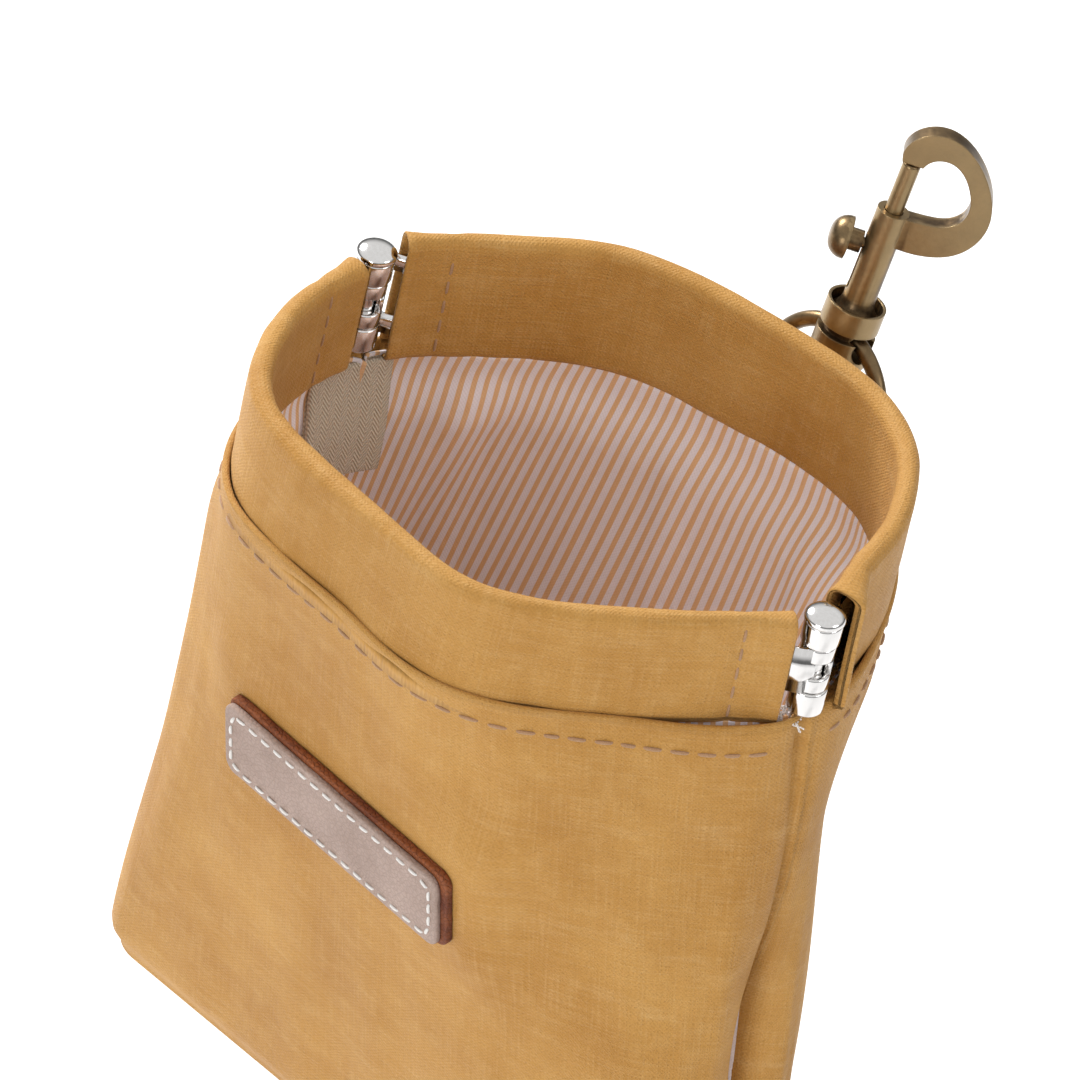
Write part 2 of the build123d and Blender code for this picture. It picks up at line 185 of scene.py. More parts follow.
def freeze(obj):
    """Applies the object's modifiers to its mesh."""
    bpy.context.view_layer.update()
    dg = bpy.context.evaluated_depsgraph_get()
    done = obj.evaluated_get(dg)
    mesh = bpy.data.meshes.new_from_object(done, preserve_all_data_layers=True, depsgraph=dg)
    obj.modifiers.clear()
    obj.data = mesh
    return obj


def weld(obj, distance=0.00002):
    """Merges points that lie on each other and makes the faces point outward."""
    b = bmesh.new()
    b.from_mesh(obj.data)
    bmesh.ops.remove_doubles(b, verts=b.verts, dist=distance)
    bmesh.ops.recalc_face_normals(b, faces=b.faces)
    b.to_mesh(obj.data)
    b.free()
    obj.data.polygons.foreach_set("use_smooth", [True] * len(obj.data.polygons))
    return obj


def thicken(obj, thickness, offset=-1.0):
    """Gives a sheet its thickness, in mm."""
    skin = obj.modifiers.new("thickness", "SOLIDIFY")
    skin.thickness = thickness * MM
    skin.offset = offset
    return freeze(obj)


def lathe(name, profile, axis_point, axis=Vector((0, 0, 1)), side=None, steps=48, sweep=(0.0, 360.0)):
    """Turns a profile of (radius, height) in mm round an axis; a part sweep leaves a gap."""
    axis = axis.normalized()
    side = (side or axis.orthogonal()).normalized()
    other = axis.cross(side)
    full = abs(sweep[1] - sweep[0]) >= 360
    count = steps if full else steps + 1
    verts, faces = [], []
    for i in range(count):
        angle = math.radians(sweep[0] + (sweep[1] - sweep[0]) * i / steps)
        out = side * math.cos(angle) + other * math.sin(angle)
        verts += [axis_point + (out * r + axis * h) * MM for r, h in profile]
    n = len(profile)
    for i in range(steps):
        k = (i + 1) % count
        for j in range(n - 1):
            faces.append((i * n + j, k * n + j, k * n + j + 1, i * n + j + 1))
        if profile[0][0] > 0 and profile[-1][0] > 0:
            faces.append((i * n + n - 1, k * n + n - 1, k * n, i * n))
    if not full:
        faces.append(tuple(range(n)))
        faces.append(tuple((count - 1) * n + j for j in reversed(range(n))))
    obj = new_mesh(name, verts, faces)
    return weld(obj)


def join(name, objects):
    """Makes one object of several."""
    merged = bmesh.new()
    for o in objects:
        merged.from_mesh(o.data)
    mesh = bpy.data.meshes.new(name)
    merged.to_mesh(mesh)
    merged.free()
    for o in objects:
        bpy.data.objects.remove(o)
    return add_object(name, mesh)


def capsule(b, start, end, radius, flat=1.0, up=Vector((0, 0, 1)), sides=10):
    """Adds one stitch to a bmesh: a rounded rod that dips at both ends."""
    along = (end - start).normalized()
    across = along.cross(up).normalized()
    lift = across.cross(along)
    length = (end - start).length
    half = [(0, 0.05, -0.9), (0.05, 0.6, -0.45), (0.16, 0.92, 0)]
    stations = half + [(0.5, 1.05, 0.12)] + [(1 - t, size, dip) for t, size, dip in reversed(half)]
    rings = []
    for t, size, dip in stations:
        centre = start + along * (length * t) + lift * (dip * radius)
        ring = []
        for i in range(sides):
            angle = 2 * math.pi * i / sides
            out = across * math.cos(angle) + lift * math.sin(angle) * flat
            ring.append(b.verts.new(centre + out * radius * size))
        rings.append(ring)
    for one, two in zip(rings, rings[1:]):
        for i in range(sides):
            k = (i + 1) % sides
            b.faces.new((one[i], two[i], two[k], one[k]))
    b.faces.new(rings[0])
    b.faces.new(list(reversed(rings[-1])))


def from_bmesh(name, b):
    """A smooth object from a bmesh, which is freed."""
    bmesh.ops.recalc_face_normals(b, faces=b.faces)
    mesh = bpy.data.meshes.new(name)
    b.to_mesh(mesh)
    b.free()
    return add_object(name, mesh)


# ---------------------------------------------------------------- shader helpers
class Shader:
    """A short way to build a node material."""

    def __init__(self, name):
        self.material = bpy.data.materials.new(name)
        self.material.use_nodes = True
        self.tree = self.material.node_tree
        self.bsdf = self.tree.nodes["Principled BSDF"]

    def node(self, kind, **values):
        n = self.tree.nodes.new(kind)
        for key, value in values.items():
            if key in n.inputs and not hasattr(n, key):
                n.inputs[key].default_value = value
            else:
                setattr(n, key, value)
        return n

    def link(self, a, b):
        self.tree.links.new(a, b)

    def feed(self, socket, value):
        """Sets a socket to a number or a colour, or links another socket to it."""
        if isinstance(value, bpy.types.NodeSocket):
            self.link(value, socket)
        else:
            socket.default_value = (*value, 1) if isinstance(value, tuple) else value

    def set(self, **values):
        for key, value in values.items():
            self.feed(self.bsdf.inputs[key.replace("_", " ")], value)

    def math(self, operation, *values):
        n = self.tree.nodes.new("ShaderNodeMath")
        n.operation = operation
        for socket, value in zip(n.inputs, values):
            self.feed(socket, value)
        return n.outputs[0]

    def mix(self, factor, a, b):
        n = self.tree.nodes.new("ShaderNodeMix")
        n.data_type = "RGBA"
        for socket, value in ((n.inputs[0], factor), (n.inputs[6], a), (n.inputs[7], b)):
            self.feed(socket, value)
        return n.outputs[2]

    def tint(self, base, mask, share, colour):
        """Mixes a share of a colour over the base where the mask is 1."""
        return self.mix(self.math("MULTIPLY", mask, share), base, colour)

    def spread(self, value, size, base):
        """base plus size times the value."""
        return self.math("ADD", self.math("MULTIPLY", value, size), base)

    def cloth_place(self):
        """The point's place in the weave, in mm, as separate sockets."""
        n = self.tree.nodes.new("ShaderNodeAttribute")
        n.attribute_name = "cloth"
        split = self.tree.nodes.new("ShaderNodeSeparateXYZ")
        self.link(n.outputs["Vector"], split.inputs[0])
        return n.outputs["Vector"], split.outputs

    def scaled(self, vector, x, y, z=1.0):
        n = self.tree.nodes.new("ShaderNodeVectorMath")
        n.operation = "MULTIPLY"
        self.link(vector, n.inputs[0])
        n.inputs[1].default_value = (x, y, z)
        return n.outputs[0]

    def noise(self, vector, scale, detail=3.0, rough=0.5):
        n = self.tree.nodes.new("ShaderNodeTexNoise")
        self.link(vector, n.inputs["Vector"])
        n.inputs["Scale"].default_value = scale
        n.inputs["Detail"].default_value = detail
        n.inputs["Roughness"].default_value = rough
        return n.outputs["Fac"]

    def ramp(self, value, low, high):
        """Stretches the range low..high to 0..1."""
        n = self.tree.nodes.new("ShaderNodeMapRange")
        self.link(value, n.inputs[0])
        n.inputs[1].default_value = low
        n.inputs[2].default_value = high
        return n.outputs[0]

    def bump(self, height, distance, strength=1.0, normal=None):
        n = self.tree.nodes.new("ShaderNodeBump")
        n.inputs["Strength"].default_value = strength
        n.inputs["Distance"].default_value = distance * MM
        self.link(height, n.inputs["Height"])
        if normal is not None:
            self.link(normal, n.inputs["Normal"])
        return n.outputs[0]

    def object_place(self):
        n = self.tree.nodes.new("ShaderNodeTexCoord")
        return n.outputs["Object"]


def plain_weave(s, u, v, pitch):
    """Height of a plain weave: over-and-under bumps of the two thread directions."""
    a = s.math("SINE", s.math("MULTIPLY", u, math.pi / pitch))
    b = s.math("SINE", s.math("MULTIPLY", v, math.pi / pitch))
    return s.spread(s.math("MULTIPLY", a, b), 0.5, 0.5)


def canvas_material():
    s = Shader("waxed_canvas")
    cloth, _ = s.cloth_place()
    wander = s.node("ShaderNodeTexNoise")
    s.link(cloth, wander.inputs["Vector"])
    wander.inputs["Scale"].default_value = 0.6
    shift = s.node("ShaderNodeVectorMath", operation="MULTIPLY_ADD")
    s.link(wander.outputs["Color"], shift.inputs[0])
    shift.inputs[1].default_value = (0.55, 0.55, 0)
    s.link(cloth, shift.inputs[2])
    split = s.node("ShaderNodeSeparateXYZ")
    s.link(shift.outputs[0], split.inputs[0])
    weave = plain_weave(s, split.outputs[0], split.outputs[1], 0.29)
    warp = s.noise(s.scaled(cloth, 3.2, 0.10), 1.0, 2.0)
    weft = s.noise(s.scaled(cloth, 0.10, 3.2), 1.0, 2.0)
    slub = s.math("ADD", warp, weft)
    grain = s.noise(cloth, 2.6, 3.0, 0.7)
    clouds = s.noise(cloth, 0.045, 4.0, 0.55)
    patches = s.noise(cloth, 0.28, 4.0, 0.62)
    rubbed = s.noise(s.scaled(cloth, 0.05, 0.22), 1.0, 5.0, 0.7)
    base = s.mix(s.ramp(clouds, 0.35, 0.68), (0.430, 0.205, 0.038), (0.545, 0.290, 0.074))
    base = s.tint(base, s.ramp(patches, 0.48, 0.78), 0.38, (0.610, 0.360, 0.125))
    base = s.tint(base, s.ramp(rubbed, 0.56, 0.74), 0.30, (0.660, 0.430, 0.190))
    base = s.tint(base, s.ramp(slub, 1.0, 1.28), 0.30, (0.640, 0.400, 0.160))
    base = s.tint(base, s.ramp(grain, 0.55, 0.30), 0.30, (0.270, 0.115, 0.018))
    # painted shade: the canvas is darker in the hollows of the weave, where one thread dips under the other
    base = s.tint(base, s.ramp(weave, 0.6, 0.0), 0.16, (0.230, 0.100, 0.018))
    relief = None
    for height, depth in ((weave, 0.06), (grain, 0.11), (slub, 0.10), (patches, 0.30)):
        relief = s.bump(height, depth, normal=relief)
    s.set(Base_Color=base, Roughness=s.spread(clouds, 0.25, 0.50), Normal=relief)
    s.set(Specular_IOR_Level=0.25, Sheen_Weight=0.05, Sheen_Roughness=0.5)
    return s.material


def lining_material():
    s = Shader("striped_cotton")
    cloth, (u, v, _) = s.cloth_place()
    phase = s.math("FRACT", s.math("DIVIDE", u, 1.62))
    edge = s.math("ABSOLUTE", s.math("SUBTRACT", phase, 0.5))
    stripe = s.ramp(edge, 0.262, 0.305)
    thread = s.noise(s.scaled(cloth, 7.0, 0.35), 1.0, 2.0)
    weave = plain_weave(s, u, v, 0.24)
    white = s.mix(thread, (0.80, 0.73, 0.76), (0.90, 0.84, 0.87))
    tan = s.mix(thread, (0.70, 0.40, 0.19), (0.84, 0.54, 0.30))
    base = s.mix(stripe, white, tan)
    # painted shade: the lining is darker in the hollows of the weave, between the threads
    base = s.tint(base, s.ramp(weave, 0.5, 0.0), 0.12, (0.35, 0.22, 0.14))
    relief = s.bump(s.noise(cloth, 0.5, 3.0), 0.12, normal=s.bump(weave, 0.035))
    s.set(Base_Color=base, Normal=relief)
    s.set(Roughness=0.85, Specular_IOR_Level=0.2, Sheen_Weight=0.15, Sheen_Roughness=0.6)
    return s.material


def webbing_material():
    s = Shader("herringbone_tape")
    cloth, (u, v, _) = s.cloth_place()
    column = s.math("PINGPONG", s.math("DIVIDE", u, 1.0), 1.0)
    slant = s.math("SINE", s.math("MULTIPLY", s.math("ADD", v, s.math("MULTIPLY", column, 1.6)), 9.0))
    height = s.spread(slant, 0.5, 0.5)
    fuzz = s.noise(cloth, 3.0, 3.0)
    # painted light and shade: the tape is lighter on the herringbone's raised ridges and darker in its
    # grooves
    base = s.mix(height, (0.46, 0.36, 0.25), (0.72, 0.63, 0.50))
    base = s.tint(base, fuzz, 0.3, (0.82, 0.74, 0.62))
    s.set(Base_Color=base, Normal=s.bump(height, 0.16, normal=s.bump(fuzz, 0.08)))
    s.set(Roughness=0.9, Specular_IOR_Level=0.2, Sheen_Weight=0.2)
    return s.material


def thread_material(name, dark, light):
    s = Shader(name)
    where = s.object_place()
    twist = s.noise(where, 5200.0, 2.0)
    s.set(Base_Color=s.mix(twist, dark, light), Normal=s.bump(twist, 0.08))
    s.set(Roughness=0.75, Specular_IOR_Level=0.3, Sheen_Weight=0.2)
    return s.material


def leather_material(name, dark, light, grain, rough):
    s = Shader(name)
    where = s.object_place()
    cells = s.node("ShaderNodeTexVoronoi", feature="DISTANCE_TO_EDGE")
    s.link(where, cells.inputs["Vector"])
    cells.inputs["Scale"].default_value = 1400.0
    creases = s.ramp(cells.outputs["Distance"], 0.0, 0.16)
    clouds = s.noise(where, 120.0, 4.0, 0.6)
    fine = s.noise(where, 2600.0, 3.0)
    base = s.mix(s.ramp(clouds, 0.3, 0.7), dark, light)
    # painted shade: the leather is darker along the grain's creases, the same creases that the bump cuts in
    base = s.tint(base, s.ramp(creases, 1.0, 0.0), 0.25, tuple(c * 0.45 for c in dark))
    relief = s.bump(fine, 0.03, normal=s.bump(creases, grain))
    s.set(Base_Color=base, Roughness=s.spread(fine, 0.2, rough), Normal=relief, Specular_IOR_Level=0.4)
    return s.material


def brass_material():
    s = Shader("antique_brass")
    where = s.object_place()
    broad = s.noise(where, 260.0, 5.0, 0.65)
    fine = s.noise(where, 1500.0, 4.0, 0.6)
    shape = s.tree.nodes.new("ShaderNodeNewGeometry")
    worn = s.ramp(shape.outputs["Pointiness"], 0.49, 0.56)
    patina = s.ramp(s.math("ADD", s.math("MULTIPLY", broad, 0.7), s.math("MULTIPLY", fine, 0.3)), 0.36, 0.62)
    base = s.mix(patina, (0.050, 0.030, 0.017), (0.185, 0.118, 0.056))
    base = s.tint(base, worn, 0.6, (0.430, 0.310, 0.160))
    s.set(Base_Color=base, Roughness=s.spread(fine, 0.24, 0.22), Metallic=0.92)
    soft_edge = s.tree.nodes.new("ShaderNodeBevel")
    soft_edge.samples = 4
    soft_edge.inputs["Radius"].default_value = 0.22 * MM
    s.set(Normal=s.bump(fine, 0.02, normal=s.bump(broad, 0.05, normal=soft_edge.outputs[0])))
    return s.material


def nickel_material():
    s = Shader("polished_nickel")
    where = s.object_place()
    fine = s.noise(s.scaled(where, 1, 1, 0.15), 2500.0, 3.0)
    base = s.mix(fine, (0.70, 0.68, 0.66), (0.82, 0.81, 0.80))
    relief = s.bump(s.noise(where, 500.0, 2.0), 0.02)
    s.set(Base_Color=base, Roughness=s.spread(fine, 0.08, 0.08), Normal=relief, Metallic=1.0)
    return s.material


def steel_material():
    s = Shader("spring_steel")
    where = s.object_place()
    grain = s.noise(s.scaled(where, 1, 1, 0.1), 1800.0, 3.0)
    base = s.mix(grain, (0.22, 0.21, 0.20), (0.42, 0.40, 0.38))
    s.set(Base_Color=base, Roughness=s.spread(grain, 0.2, 0.25), Metallic=1.0)
    return s.material


CANVAS = canvas_material()
LINING = lining_material()
WEBBING = webbing_material()
THREAD = thread_material("tan_thread", (0.26, 0.135, 0.06), (0.50, 0.30, 0.17))
LABEL_THREAD = thread_material("white_thread", (0.62, 0.58, 0.54), (0.88, 0.86, 0.83))
FRAY = thread_material("frayed_cotton", (0.70, 0.64, 0.60), (0.92, 0.89, 0.86))
PALE_LEATHER = leather_material("pale_leather", (0.31, 0.215, 0.172), (0.42, 0.305, 0.255), 0.05, 0.45)
SADDLE_LEATHER = leather_material("saddle_leather", (0.13, 0.030, 0.010), (0.34, 0.100, 0.026), 0.10, 0.6)
BRASS = brass_material()
NICKEL = nickel_material()
STEEL = steel_material()


def finish_piece(obj, material, body="pouch", replaces=(), flatten=True):
    """Gives a piece its material, its body and the CAD nodes it stands for."""
    obj.data.materials.clear()
    obj.data.materials.append(material)
    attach(obj, body)
    if replaces:
        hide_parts(*replaces)
    if flatten:
        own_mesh(obj)


# ---------------------------------------------------------------- the bag's surface
AROUND = 420
mouth, mouth_length = smooth_line(FRONT_LINE[:-1] + BACK_LINE[:0:-1], AROUND, closed=True)
mouth_out = normals_of(mouth, closed=True)
ALONG = mouth_length / AROUND


def nearest(line, point):
    """The step of a plan line that is nearest to a point."""
    return int(np.argmin(np.hypot(line[:, 0] - point[0], line[:, 1] - point[1])))


SEAMS = nearest(mouth, LEFT_HINGE), nearest(mouth, RIGHT_HINGE)

label_low, label_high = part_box("label_base")
LABEL_WIDTH, LABEL_HEIGHT = 42.0, 13.5
LABEL_BASE, LABEL_FACE = 1.1, 0.9
FACE_WIDTH, FACE_HEIGHT, FACE_SHIFT = LABEL_WIDTH - 1.0, LABEL_HEIGHT - 0.8, (-0.5, -0.4)
label_turn = math.radians(2.0)
label_lean = math.atan((35.2 + PANEL_MARGIN - BOTTOM_HALF_Y) / CASING_LOW)
label_x = Vector((math.cos(label_turn), -math.sin(label_turn), 0))
label_out = Vector((-math.sin(label_turn), -math.cos(label_turn), 0))
label_normal = label_out * math.cos(label_lean) - Vector((0, 0, math.sin(label_lean)))
label_y = label_normal.cross(label_x)
label_back = own((label_low + label_high) / 2) - label_normal * (LABEL_BASE / 2)


def seam_distance(i, seam):
    """Length along the mouth from a seam, in mm, negative on the front side."""
    d = (i - seam + AROUND / 2) % AROUND - AROUND / 2
    return d * ALONG


def rounded_rectangle(half_x, half_y, corner):
    """Evenly spaced plan points of the bottom, from the middle of its left end round by the front."""
    left = [(-half_x, 0.0)]
    p = np.array(left + corner_arcs(half_x, half_y, corner, 13, 2) + left)
    run = run_along(p)
    even = np.linspace(0, run[-1], int(run[-1] / BOTTOM_STEP))[:-1]
    return np.stack([np.interp(even, run, p[:, 0]), np.interp(even, run, p[:, 1])], 1)


def match_bottom():
    """The bottom point that hangs under each step of the mouth: corners hang under corners."""
    low = rounded_rectangle(BOTTOM_HALF_X, BOTTOM_HALF_Y, BOTTOM_CORNER)
    pairs = [
        (LEFT_HINGE, (-BOTTOM_HALF_X, 0)),
        ((-35, -25), (-BOTTOM_HALF_X, -BOTTOM_HALF_Y)),
        ((31, -17), (BOTTOM_HALF_X, -BOTTOM_HALF_Y)),
        (RIGHT_HINGE, (BOTTOM_HALF_X, 0)),
        ((33, 21), (BOTTOM_HALF_X, BOTTOM_HALF_Y)),
        ((-28, 20), (-BOTTOM_HALF_X, BOTTOM_HALF_Y)),
    ]
    top_marks = [nearest(mouth, a) for a, _ in pairs]
    low_marks = [nearest(low, b) for _, b in pairs]
    top_marks = [0] + top_marks[1:] + [AROUND]
    low_marks = [0] + low_marks[1:] + [len(low)]
    steps = np.arange(-AROUND, 2 * AROUND)
    matched = np.interp(steps % AROUND, top_marks, low_marks) + (steps // AROUND) * len(low)
    window = 25
    matched = np.convolve(matched, np.ones(window) / window, mode="same")[AROUND : 2 * AROUND]
    return low[np.round(matched).astype(int) % len(low)]


bottom = match_bottom()


def ridge_out(i):
    """How far the folded top edge of the canvas stands outside the spring line, in mm."""
    base = 2.2 + 0.25 * (1 if mouth_out[i][1] < 0 else -1)
    d = min(abs(seam_distance(i, seam)) for seam in SEAMS)
    return base - 0.5 * math.exp(-((d / 14) ** 2)) - 1.7 * math.exp(-d / 1.6)


def bag_point(i, z):
    """A point of the canvas at step i round the mouth and height z, before details."""
    top = mouth[i] + mouth_out[i] * (2.0 + 0.3 * (1 if mouth_out[i][1] < 0 else -1))
    x, y = bottom[i] + (top - bottom[i]) * z / CASING_LOW
    if y > 0:
        # the back hangs flatter towards the right
        y -= min(5.5, 0.4 * y) * soft((x - 4) / 34) * soft((CASING_LOW - z) / 24)
    return Vector((x, y, z))


def crease_depth(i, z):
    """How far the side seams are drawn in, in mm, at step i and height z."""
    deep = 0.0
    for seam, broad, middle in zip(SEAMS, (4.5, 6.6), (50.0, 47.0)):
        d = abs(seam_distance(i, seam) - 0.8 * ripple(z * 0.03, seam * 0.1))
        sharp = 1.5 * math.exp(-d / 1.1) * soft((z - 3) / 10)
        notch = 1.2 * math.exp(-d / 1.8) * soft((z - 84) / 14)
        fold = broad * math.exp(-(((z - middle) / 19) ** 2)) * math.exp(-((d / 5.5) ** 1.4))
        deep += sharp + notch + fold
    return deep


def drape(i, z):
    """How far the canvas stands out from its plain shape, in mm."""
    here = i * ALONG
    angle = 2 * math.pi * i / AROUND
    cx, cy = math.cos(angle) * 2.2, math.sin(angle) * 2.2
    belly = math.sin(math.pi * min(z / CASING_LOW, 1.0))
    out = 1.3 * belly * ripple(cx * 0.55, cy * 0.55, z * 0.012)
    out += 0.8 * ripple(cx * 1.7, cy * 1.7, z * 0.022 + 5) * soft((100 - z) / 12) * soft(z / 8)
    out += 0.35 * ripple(cx * 4.5, cy * 4.5, z * 0.035 + 9) * soft((100 - z) / 8) * soft(z / 8)
    pucker = soft((z - 80) / 18)
    wave = math.sin(here / 1.9 + 3.0 * ripple(here * 0.05, 3.0)) * (0.4 + ripple(here * 0.03, 8.0))
    out += 0.30 * pucker * wave * soft((98.0 - z) / 5)
    for seam, size in zip(SEAMS, (1.2, 1.7)):
        d = seam_distance(i, seam)
        side = 1.0 if d < 0 else 0.35
        out += size * side * math.exp(-(((abs(d) - 8.5) / 5.0) ** 2)) * math.exp(-(((z - 52) / 26) ** 2))
    return out - crease_depth(i, z)


def settle_on_label(p):
    """Presses the canvas flat behind the label."""
    if p.y > 0:
        return p
    rel = p - label_back
    a, b, c = rel.dot(label_x), rel.dot(label_y), rel.dot(label_normal)
    grip = soft((LABEL_WIDTH / 2 + 9 - abs(a)) / 9) * soft((LABEL_HEIGHT / 2 + 14 - abs(b)) / 14)
    return p + label_normal * (grip * (-0.08 - c))


def canvas_surface(i, z):
    """The outside of the canvas, with its drape."""
    p = bag_point(i, z)
    out = mouth_out[i]
    d = drape(i, z)
    p = p + Vector((out[0] * d, out[1] * d, 0))
    round_bottom = 1 - soft(z / 5.0)
    p.x *= 1 - 0.02 * round_bottom
    p.y *= 1 - 0.13 * round_bottom
    return settle_on_label(p)


def ridge_wave(i):
    """The top ridge rises and falls a little."""
    return 0.35 * ripple(i * ALONG * 0.06, 11.0)


def make_canvas():
    rows, cloth = [], []
    ridge_steps = 9
    rows.append([place(*(mouth[i] - mouth_out[i] * 0.3), CASING_LOW - 1.25) for i in range(AROUND)])
    cloth.append([(i * ALONG, 107, 0) for i in range(AROUND)])
    for k in range(ridge_steps):
        angle = math.pi * (1 - k / ridge_steps)
        row, weave = [], []
        for i in range(AROUND):
            centre = ridge_out(i) - 0.5
            reach = centre + 0.55 * math.cos(angle) + 0.12 * ripple(i * ALONG * 0.12, 7.0)
            z = CASING_LOW + 0.15 + 0.6 * math.sin(angle) - (2.4 if k == 0 else 0) + ridge_wave(i)
            xy = mouth[i] + mouth_out[i] * reach
            row.append(place(xy[0], xy[1], z))
            weave.append((i * ALONG, 104 - k * 0.3, 0))
        rows.append(row)
        cloth.append(weave)
    heights = list(np.linspace(100.2, 86, 26)) + list(np.linspace(85.2, 6, 96))
    heights += [5, 4, 3, 2.1, 1.3, 0.7, 0.25, 0.0]
    for z in heights:
        row = []
        for i in range(AROUND):
            p = canvas_surface(i, z)
            row.append(place(p.x, p.y, p.z + ridge_wave(i) * soft((z - 88) / 12)))
        rows.append(row)
        cloth.append([(i * ALONG * (1 + 0.02 * (1 - z / 100)), z, 0) for i in range(AROUND)])
    for f in (0.93, 0.8, 0.6, 0.4, 0.2, 0.0):
        row = []
        for i in range(AROUND):
            p = canvas_surface(i, 0.0)
            row.append(place(p.x * (0.97 + 0.03 * f), p.y * f, 0.0))
        rows.append(row)
        cloth.append([(own(p).x, own(p).y - 20, 0) for p in row])
    return thicken(weld(grid("canvas_bag", rows, True, cloth)), CANVAS_THICKNESS)


finish_piece(make_canvas(), CANVAS, replaces=["front_panel", "back_panel"])


# ---------------------------------------------------------------- lining
def lining_surface(i, z):
    """The cotton lining, slack inside the canvas."""
    p = bag_point(i, min(max(z, 3.0), CASING_LOW))
    out = mouth_out[i]
    depth = soft((101 - z) / 12)
    here = i * ALONG
    slack = 1.7 + depth * (1.0 + 2.2 * (0.5 + 0.5 * ripple(here * 0.04, z * 0.014, 2.0)))
    slack += depth * 2.6 * max(0.0, ripple(here * 0.07 + z * 0.02, z * 0.01, 9.0))
    slack += depth * 1.2 * max(0.0, ripple(here * 0.13 - z * 0.03, z * 0.012, 15.0))
    start = 3.0 + 0.15 * ripple(here * 0.1, 4.0)
    inward = start + (slack - start) * soft((100.5 - z) / 7)
    inward = max(inward, crease_depth(i, min(z, 99.0)) + 1.9)
    return Vector((p.x - out[0] * inward, p.y - out[1] * inward, z))


def make_lining():
    rows, cloth = [], []
    heights = list(np.linspace(100.5, 80, 34)) + list(np.linspace(79, 6, 60)) + [4.5, 3.4]
    run = 0.0
    for k, z in enumerate(heights):
        rows.append([place(*lining_surface(i, z)) for i in range(AROUND)])
        run += 0 if k == 0 else heights[k - 1] - z
        cloth.append([(i * ALONG, 120 - run, 0) for i in range(AROUND)])
    for f in (0.8, 0.5, 0.2, 0.0):
        row = []
        for i in range(AROUND):
            p = lining_surface(i, 3.4)
            row.append(place(p.x * (0.97 + 0.03 * f), p.y * f, 3.0))
        rows.append(row)
        cloth.append([(i * ALONG, 10 * f, 0) for i in range(AROUND)])
    return thicken(weld(grid("lining_bag", rows, True, cloth)), LINING_THICKNESS, offset=1.0)


finish_piece(make_lining(), LINING, replaces=["front_lining", "back_lining"])


# ---------------------------------------------------------------- casings round the spring strips
CASING_STEPS, LINE_STEPS = 220, 1200
CASING_START, CASING_STOP = 0.032, 0.968
CASING_TALL, HEM = 17.0, 6.3


class Casing:
    """A flat fabric tube round one spring strip."""

    def __init__(self, line, out_sign, seed, high, gape):
        self.path, self.length = smooth_line(line, LINE_STEPS)
        self.side = normals_of(self.path) * out_sign
        self.seed, self.high, self.gape = seed, high, gape

    def place_on(self, u, side, reach, z):
        """A point at share u of the length, reach mm from the middle, with the fabric's unevenness."""
        last = LINE_STEPS - 1
        k = min(max(int(round(u * last)), 0), last)
        centre, out = self.path[k], self.side[k]
        along = u * self.length
        seed = self.seed
        full = abs(reach) / CASING_HALF
        reach += side * full * (0.20 * ripple(along * 0.05, seed) + 0.14 * ripple(along * 0.2, seed + 4.0))
        reach += full * 0.34 * ripple(along * 0.085, z * 0.085, seed + (0 if side > 0 else 8.0))
        hem = min(u - CASING_START, CASING_STOP - u) * self.length
        reach += side * full * (0.4 * soft((3.0 - hem) / 3.0) - 0.28 * math.exp(-(((hem - HEM) / 1.2) ** 2)))
        opening = soft(((u - CASING_STOP) * self.length + 8) / 8) * self.gape
        reach += opening * full * (2.0 if side > 0 else 0.5)
        share = (z - CASING_LOW) / CASING_TALL
        x, y = centre + out * (reach + 0.9 * ripple(along * 0.028, seed + 6.0) * soft(hem / 12) * share)
        rise = 0.7 * ripple(along * 0.032, seed + 2.0) + 1.0 * math.exp(-along / 9) - 0.3
        return Vector((x, y, z + rise * share)), along

    def ring(self, u, depth, steps=76):
        """One closed section of the tube, a stadium in the plane across it, and its run in mm."""
        low, high = CASING_LOW - 0.9, self.high
        radius, middle, half = CASING_HALF - depth, (low + high) / 2, (high - low) / 2 - CASING_HALF
        straight, turn = 2 * half, math.pi * radius
        total = 2 * (straight + turn)
        points, runs = [], []
        for k in range(steps):
            run = total * k / steps
            if run < straight:
                side, z = 1, middle - half + run
            elif run < straight + turn:
                angle = (run - straight) / radius
                side, z = math.cos(angle), middle + half + radius * math.sin(angle)
            elif run < 2 * straight + turn:
                side, z = -1, middle + half - (run - straight - turn)
            else:
                angle = (run - 2 * straight - turn) / radius
                side, z = -math.cos(angle), middle - half - radius * math.sin(angle)
            p, along = self.place_on(u, 1 if side > 0 else -1, radius * side, z)
            points.append(place(*p))
            runs.append((along, run + (0 if depth < 0.3 else 60), 0))
        return points, runs

    def build(self, name):
        rows, cloth = [], []

        def add(u, depth):
            points, runs = self.ring(u, depth)
            rows.append(points)
            cloth.append(runs)

        us = np.linspace(CASING_START, CASING_STOP, CASING_STEPS)
        depths, bulge = (0.06, 0.2, 0.36, 0.5, 0.56), 0.0022
        for u in us:
            add(u, 0.0)
        for depth in depths:
            add(CASING_STOP + bulge * math.sin(math.pi * depth / 0.56), depth)
        for u in us[::-1]:
            add(u, 0.6)
        for depth in reversed(depths):
            add(CASING_START - bulge * math.sin(math.pi * depth / 0.56), depth)
        add(CASING_START, 0.0)
        return weld(grid(name, rows, True, cloth))


front_tube = Casing(FRONT_LINE, 1, 1.0, CASING_HIGHS[0], 0.0)
back_tube = Casing(BACK_LINE, -1, 31.0, CASING_HIGHS[1], 1.0)
finish_piece(front_tube.build("front_casing_sleeve"), CANVAS, replaces=["front_casing"])
finish_piece(back_tube.build("back_casing_sleeve"), CANVAS, replaces=["back_casing"])


